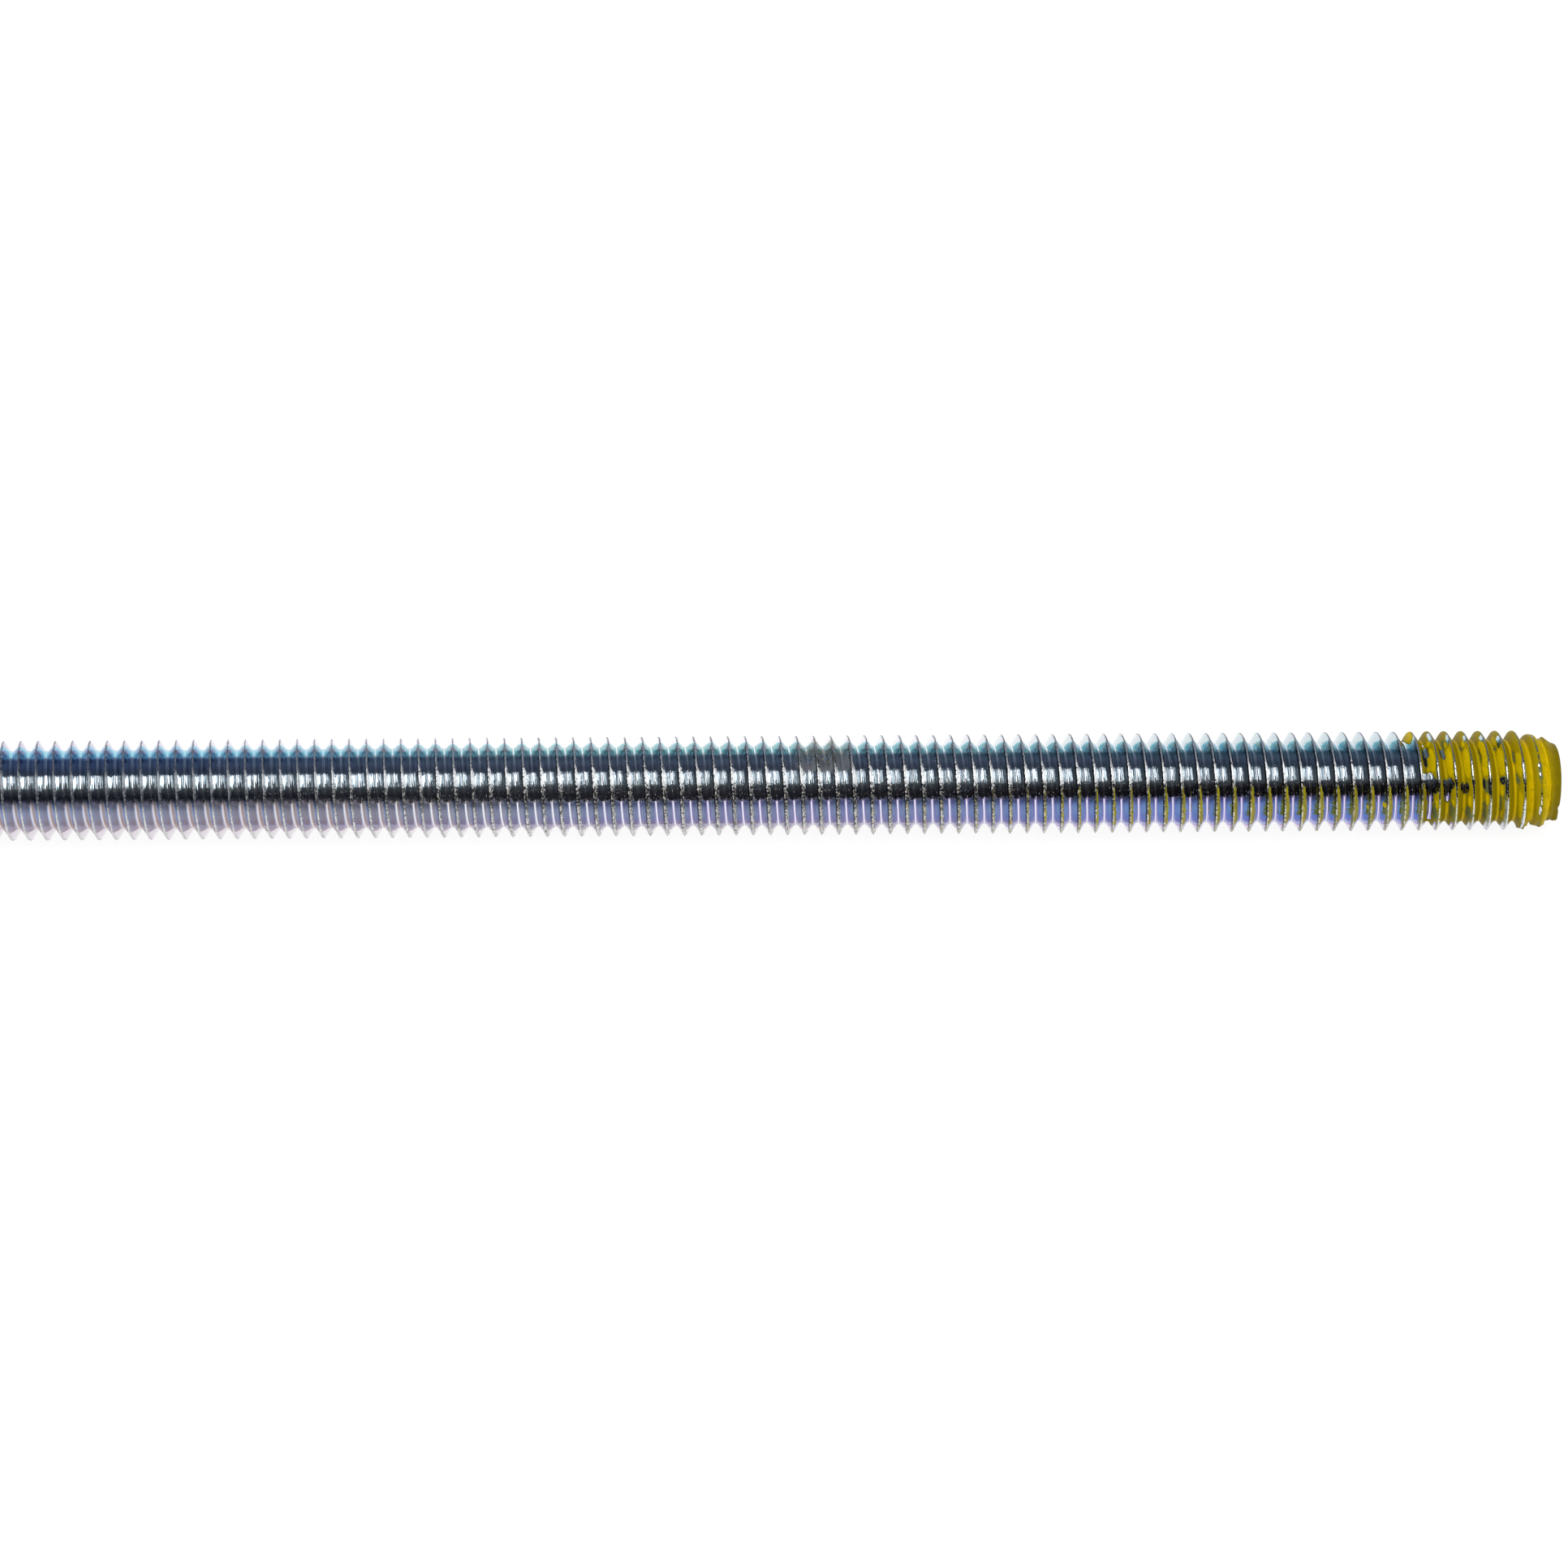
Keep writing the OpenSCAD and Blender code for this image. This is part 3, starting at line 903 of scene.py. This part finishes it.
def upper_tips(g):
    """The tips above, painted pale as a reflection of the white room behind the rod, with a painted cyan
    rim, a painted cyan glow in the valleys and painted sheen lines high up.

    Their boundary is slanted on the left, and humped across each ridge on the right.
    """
    slanted = g.scaled(g["across"], TIP_SLANT / 360, share_of(TIP_START))
    off_hump = g.math("ABSOLUTE", g.minus(g["across"], HUMP_MIDDLE))
    hump = g.scaled(g.math("POWER", off_hump, 2.0), HUMP_FALL / 360, share_of(HUMP_TOP))
    boundary = g.blend(g.zone("humped"), slanted, hump)
    g["past"] = g.wobbled(g.minus(g["angle"], boundary), TIP_WOBBLE)
    # painted reflections: the cyan rim, the cyan glow in the valleys, the pale tips and the sheen lines
    # high up
    g.lay_zone("tip_rim", "above")
    g.lay_zone("glow")
    g.lay_zone("tips", "above")
    g.lay(g.zone("high_up"), g.blend(g.zone("high_lines"), *HIGH_SHEEN_LINES), LINES_STRENGTH)


def lower_flanks(g):
    """Strips of tan on the left, and the tips below, painted pale as a reflection of the white floor, with
    a purple rim.
    """
    g.lay_zone("tan", "lower")
    slanted = g.scaled(g["across"], g.grade("steep"), g["angle"])
    under = g.minus(share_of(LOW_TIP_START), slanted)
    under = g.scaled(g.zone("lowered"), LOW_TIP_FALL / 360, under)
    g["under"] = g.wobbled(under, TIP_WOBBLE)
    g.lay_zone("low_rim", "beneath")
    # painted reflection: the tips below are pale where the metal mirrors the white floor
    g.lay_zone("low_tips", "beneath")
    g.lay_zone("violet", "lower")


def root_lines(g):
    """The bright line in the bottom of each groove, where the room lights it."""
    lit = g.both(g.around(ROOT_LIGHT), g.minus(1.0, g.zone("plain")))
    lit = g.both(lit, g.blend(g.zone("dim_roots"), 1.0, DIM_ROOTS))
    g["depth"] = g.math("ADD", g["across"], g.grade("root"))
    cyan = g.both(g.zone("cyan_roots"), CYAN_STRENGTH)
    g.lay(g.both(g.zone("root"), lit), g.blend(cyan, g.tint(ROOT_COLOURS), CYAN))


def crest_shine(g):
    """The share of the crests that bright grains take up, painted larger where the highlight falls and
    smaller in the dark bands.
    """
    more = g.both(g.zone("silver"), SILVER_GRAINS)
    g["grains"] = g.math("ADD", g["pits"], g.math("ADD", g.around(CREST_GRAINS), more))
    bright = g.blend(g.zone("ridged"), g.zone("bright_grains"), g.both(g.zone("ridge"), RIDGE_SHINE))
    bright = g.blend(g.zone("topmost"), bright, TOP_SHINE)
    softness = g.blend(g.zone("soft"), *LEFT_CONTRAST)
    soft = g.scaled(g.minus(bright, 1.0), softness, 1.0)
    return g.blend(g.zone("near"), soft, bright)


def crests(g):
    """The bruised crests between two dark lines of painted shade, their grains painted bright where the
    highlight falls. Gives back where they are bruised.
    """
    chips = g.minus(g["chips"], 0.5)
    g["edge"] = g.scaled(chips, g.grade("chips"), g["v"])
    reach = g.ramp(g.grade("length"), [(x / HALF_LENGTH / 2 + 0.5, k) for x, k in SEAM_REACH])
    reach = g.both(reach, g.around(SEAM_SWELL))
    g["past_seam"] = g.minus(g["edge"], reach)
    # painted shade: a dark line left of each seam, and above the highlight on the right part of the rod
    # another one right of it
    g.lay_zone("shadowed")
    g.lay_zone("beyond")
    colour = g.blend(g.zone("gold"), g.around(CREST_BRUISE_AND_LIGHT_COLOURS), GOLD)
    # far left, the crests are greyer and carry painted light by degrees
    dusty = g.blend(g.zone("dusty"), colour, g.around(FAR_CREST_PAINTED_LIGHT))
    colour = g.blend(g.zone("near"), dusty, colour)
    colour = g.blend(crest_shine(g), g.around(PIT_COLOURS), colour)
    return g.lay(g.zone("bruised"), colour)


def dirt(g):
    """Scuffs beside the paint, the smudge right of the middle, and painted glints: light specks in the
    dark band.
    """
    g.lay_zone("scuffed")
    g.lay_zone("sawn")
    g.lay(g.zone("smudge"), g.around(STAIN_COLOURS), SMUDGE_STRENGTH, 1.0)
    # painted glints: light, dull specks laid only in the band round the rod where the metal mirrors the
    # dark room
    g["dirt"] = g.zone("dirty")
    g["over"] = g.minus(g["dashes"], g.grade("specks"))
    g.lay(g.zone("specks"), g.ramp(g["motes"], GLINT_SPECK_COLOURS), 1.0, GLINT_SPECK_DULL)


def wipes(g):
    """Thin wipes of paint on the flanks beside the crests, low on the front."""
    ragged = g.scaled(g["ragged"], 0.6, -0.3)
    reach = g.both(g.grade("wipe_round"), g.grade("wipe_right"))
    g["past_right"] = g.minus(g.minus(g["v"], ragged), reach)
    leftward = g.minus(g.math("MULTIPLY", g["v"], -1.0), ragged)
    g["past_left"] = g.minus(leftward, g.grade("wipe_left"))
    stripes = g.zone("stripes")
    right = g.lay(g.zone("wiped_right"), g.blend(stripes, *WIPE_RIGHT), 1.0, 1.0)
    left = g.lay(g.zone("wiped_left"), g.blend(stripes, *WIPE_LEFT), LEFT_WIPE_STRENGTH, 1.0)
    wiped = g.math("MAXIMUM", right, left)
    g.lay(g.both(wiped, g.zone("gaps")), *LAYERS["gaps"])
    return wiped


def splashes(g, painted):
    """The drops of PAINT_DOTS. Gives back everything that is painted."""
    for x, degrees, out, radius in PAINT_DOTS:
        a = math.radians(degrees)
        middle = tuple(k * MM for k in (x, -out * math.cos(a), out * math.sin(a)))
        away = g.node("VectorMath", g.coords, middle, operation="DISTANCE", out=0)
        away = g.scaled(g["chips"], DOT_RAGGED * MM, away)
        dot = g.lay(g.step(away, radius * MM, (radius - DOT_EDGE) * MM), *LAYERS["splash"])
        painted = g.math("MAXIMUM", painted, dot)
    return painted


def steel_roughness(g, bruised, painted):
    rough = g.scaled(g["smear"], SMEARED, SMOOTH)
    rough = g.math("ADD", rough, g.both(g.zone("lower", "far_left"), FAR_LEFT))
    rough = g.blend(g.zone("sawn"), g.blend(bruised, rough, CRESTS), SAWN)
    return g.blend(painted, rough, PAINTED)


def steel_relief(g, rugged):
    """Scores along the thread, fewer on the smooth flanks, dents, and the pits of the crests."""
    scores = g.both(g["scores"], g.blend(g.zone("smooth"), 1.0, 0.15))
    normal = g.bump(scores, SCORE_DEPTH * MM)
    normal = g.bump(g.both(g["dents"], g.grade("dents")), DENT_DEPTH * MM, normal)
    return g.bump(g.both(rugged, g["pits"]), PIT_DEPTH * MM, normal)


def zinc():
    """The plated steel: tints and reflections first, and what lies over them after."""
    mat = bpy.data.materials.new("zinc_plated_steel")
    g = RodGraph(mat)
    for layer in (tints_and_painted_light, streaks, upper_tips, lower_flanks, root_lines):
        layer(g)
    bruised = crests(g)
    dirt(g)
    painted = splashes(g, wipes(g))
    rugged = g.both(bruised, g.zone("rugged"))
    g.dim(rugged, RUGGED_DULL)
    shader = g.nodes["Principled BSDF"]
    shader.inputs["Specular IOR Level"].default_value = SPECULAR
    g.put(shader.inputs["Base Color"], g.colour)
    g.put(shader.inputs["Metallic"], g.scaled(g.dull, MOST_DULL, 1.0))
    g.put(shader.inputs["Roughness"], steel_roughness(g, bruised, painted))
    g.put(shader.inputs["Normal"], steel_relief(g, rugged))
    return mat


# Colours of the paint by its tone, from a thin wipe over the usual coat and thick spots to pools: below 0
# near-black, a painted reflection of the dark room; about 0.95 a bright gold, painted light in the roots;
# past 1 darker, painted shade on the cap towards its end
PAINT_COLOURS = (
    (-0.3, 0.016, 0.02, 0.028), (-0.12, 0.02, 0.024, 0.028), (-0.06, 0.11, 0.12, 0.05),
    (0.0, 0.14, 0.16, 0.07), (0.22, 0.17, 0.18, 0.04), (0.3, 0.255, 0.2, 0.004),
    (0.5, 0.29, 0.215, 0.001), (0.62, 0.325, 0.237, 0.001), (0.67, 0.44, 0.325, 0.0006),
    (0.82, 0.49, 0.36, 0.0006), (0.95, 0.74, 0.49, 0.0006), (1.05, 0.34, 0.246, 0.0006),
    (1.2, 0.25, 0.185, 0.0006), (1.4, 0.185, 0.14, 0.0008),
)
TONE_SPAN = -0.3, 1.8  # the darkest tone, and how far the tones reach from it
PAINT_SPECK = (0.1, 0.07, 0.02)
# What blotches do to the tone and to the roughness, and the tones at which metal shows through
BLOTCH_TONE, BLOTCH_ROUGHNESS, THIN_TONES, THIN_METAL = 0.22, (0.2, 0.32), (0.34, 0.12), 0.35
PAINT_GLOSS = {
    "Specular IOR Level": 0.01,
    "Coat Weight": 0.15,
    "Coat IOR": 1.25,
    "Coat Roughness": 0.25,
}


def paint():
    """The yellow paint, coloured by the tone that its meshes carry."""
    mat = bpy.data.materials.new("yellow_end_paint")
    g = Graph(mat)
    shader = g.nodes["Principled BSDF"]
    coords = g.nodes.new("ShaderNodeTexCoord").outputs["Object"]
    tone = g.node("Attribute", attribute_name="tone", out=2)
    blotch = g.noise(coords, *GRAINS["blotches"])
    tone = g.scaled(g.minus(blotch, 0.5), BLOTCH_TONE, tone)
    darkest, span = TONE_SPAN
    share = g.scaled(tone, 1 / span, -darkest / span)
    colour = g.ramp(share, [((place - darkest) / span, *colour) for place, *colour in PAINT_COLOURS])
    specks = g.step(g.noise(coords, *GRAINS["paint_specks"]), 0.70, 0.74)
    g.put(shader.inputs["Base Color"], g.blend(specks, colour, PAINT_SPECK))
    g.put(shader.inputs["Roughness"], g.scaled(blotch, *BLOTCH_ROUGHNESS))
    g.put(shader.inputs["Metallic"], g.blend(g.step(tone, *THIN_TONES), 0.0, THIN_METAL))
    for name, value in PAINT_GLOSS.items():
        shader.inputs[name].default_value = value
    relief = g.bump(g.noise(coords, *GRAINS["paint_dents"]), DENT_DEPTH * MM)
    g.put(shader.inputs["Normal"], relief)
    return mat


# ---- studio

VIEW_ELEVATION, VIEW_YAW, VIEW_ROLL = (math.radians(a) for a in (VIEW_DEGREES, 1.74, 0.40))
VIEW_DISTANCE, LENS, SENSOR = 0.261, 102.65, 36.0
VIEW_X, VIEW_UP = 4.75 * MM, 0.087 * MM


def make_camera():
    level_part = math.cos(VIEW_YAW)
    y, z = -level_part * math.cos(VIEW_ELEVATION), level_part * math.sin(VIEW_ELEVATION)
    back = Vector((-math.sin(VIEW_YAW), y, z))
    level = (Vector((1, 0, 0)) - back * back.x).normalized()
    upright = back.cross(level)
    right = level * math.cos(VIEW_ROLL) - upright * math.sin(VIEW_ROLL)
    up = upright * math.cos(VIEW_ROLL) + level * math.sin(VIEW_ROLL)
    data = bpy.data.cameras.new("camera")
    data.lens, data.sensor_width, data.clip_start = LENS, SENSOR, 0.01
    camera = link("camera", data)
    turned = Matrix((right, up, back)).transposed().to_4x4()
    turned.translation = Vector((VIEW_X, 0, 0)) + up * VIEW_UP + back * VIEW_DISTANCE
    camera.matrix_world = turned
    bpy.context.scene.camera = camera


FLOOR_SIDE = 3.0
FLOOR_GREY, FLOOR_ROUGHNESS, FLOOR_GLOW, FLOOR_SHADE = 0.82, 0.8, 0.9, 0.16


def seen(g):
    """1 for what the camera, a gloss or a clear surface sees, 0 for what only lights the object."""
    path = g.nodes.new("ShaderNodeLightPath").outputs
    result = path["Is Camera Ray"]
    for ray in ("Is Glossy Ray", "Is Transmission Ray"):
        result = g.math("MAXIMUM", result, path[ray])
    return result


def make_floor():
    z = low.z
    corners = [(x * FLOOR_SIDE, y * FLOOR_SIDE, z) for x, y in ((-1, -1), (1, -1), (1, 1), (-1, 1))]
    mesh = bpy.data.meshes.new("floor")
    mesh.from_pydata(corners, [], [(0, 1, 2, 3)])
    mat = bpy.data.materials.new("floor_white")
    g = Graph(mat)
    shader = g.nodes["Principled BSDF"]
    shader.inputs["Base Color"].default_value = (*[FLOOR_GREY] * 3, 1)
    shader.inputs["Roughness"].default_value = FLOOR_ROUGHNESS
    white = g.node("Emission", (1.0, 1.0, 1.0), FLOOR_GLOW)
    shade = g.node("BsdfDiffuse", (FLOOR_SHADE, FLOOR_SHADE, FLOOR_SHADE))
    lifted = g.node("AddShader", white, shade)
    g.put(g.nodes["Material Output"].inputs[0], g.node("MixShader", seen(g), shader.outputs[0], lifted))
    add("floor", mesh, mat)


# Softboxes: place along the rod, distance, width and height in metres, and radiance
SOFTBOX_ELEVATION = math.radians(70)
SOFTBOXES = (
    ("softbox_overhead", 0.07, 0.6, 0.20, 0.41, 2.8),
    ("softbox_left", -0.62, 0.6, 0.30, 0.60, 4.4),
)


def make_softboxes():
    for name, x, distance, width, height, radiance in SOFTBOXES:
        data = bpy.data.lights.new(name, "AREA")
        data.shape = "RECTANGLE"
        data.size, data.size_y = width, height
        data.energy = radiance * math.pi * width * height
        lamp = link(name, data)
        above = distance * Vector((0, -math.cos(SOFTBOX_ELEVATION), math.sin(SOFTBOX_ELEVATION)))
        lamp.location = above + Vector((x, 0, 0))
        lamp.rotation_euler = lamp.location.to_track_quat("Z", "Y").to_euler()


# What the metal sees round the rod, by degrees: a white floor and backdrop, and a dark room
ROOM = (
    (0, 0.012, 0.012, 0.016), (24, 0.024, 0.024, 0.03), (38, 0.06, 0.06, 0.07),
    (52, 0.12, 0.12, 0.13), (98, 0.07, 0.09, 0.12), (110, 0.1, 0.12, 0.16), (122, 0.17, 0.2, 0.25),
    (146, 0.22, 0.26, 0.32), (153, 0.36, 0.41, 0.48), (159, 1, 1, 1), (180, 1, 1, 1),
)
FILL = 0.8


def make_world():
    world = bpy.data.worlds.new("room")
    bpy.context.scene.world = world
    g = Graph(world)
    way = g.nodes.new("ShaderNodeTexCoord").outputs["Generated"]
    room = ramp_round(g, round_the_rod(g, way), ROOM)
    path = g.nodes.new("ShaderNodeLightPath").outputs
    gloss = g.math("MAXIMUM", path["Is Glossy Ray"], path["Is Transmission Ray"])
    colour = g.blend(gloss, (FILL, FILL, FILL), room)
    colour = g.blend(path["Is Camera Ray"], colour, (1.0, 1.0, 1.0))
    g.put(g.nodes["Background"].inputs["Color"], colour)


def make_pieces():
    rod = add("rod_thread", rod_mesh(), zinc())
    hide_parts(NODE)
    yellow = paint()
    film = add("paint_film", film_mesh(), yellow)
    cap = add("paint_cap", cap_mesh(), yellow)
    for piece in (rod, film, cap):
        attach(piece, BODY)


make_camera()
make_pieces()
make_floor()
make_softboxes()
make_world()
bpy.context.scene.view_settings.view_transform = "Standard"
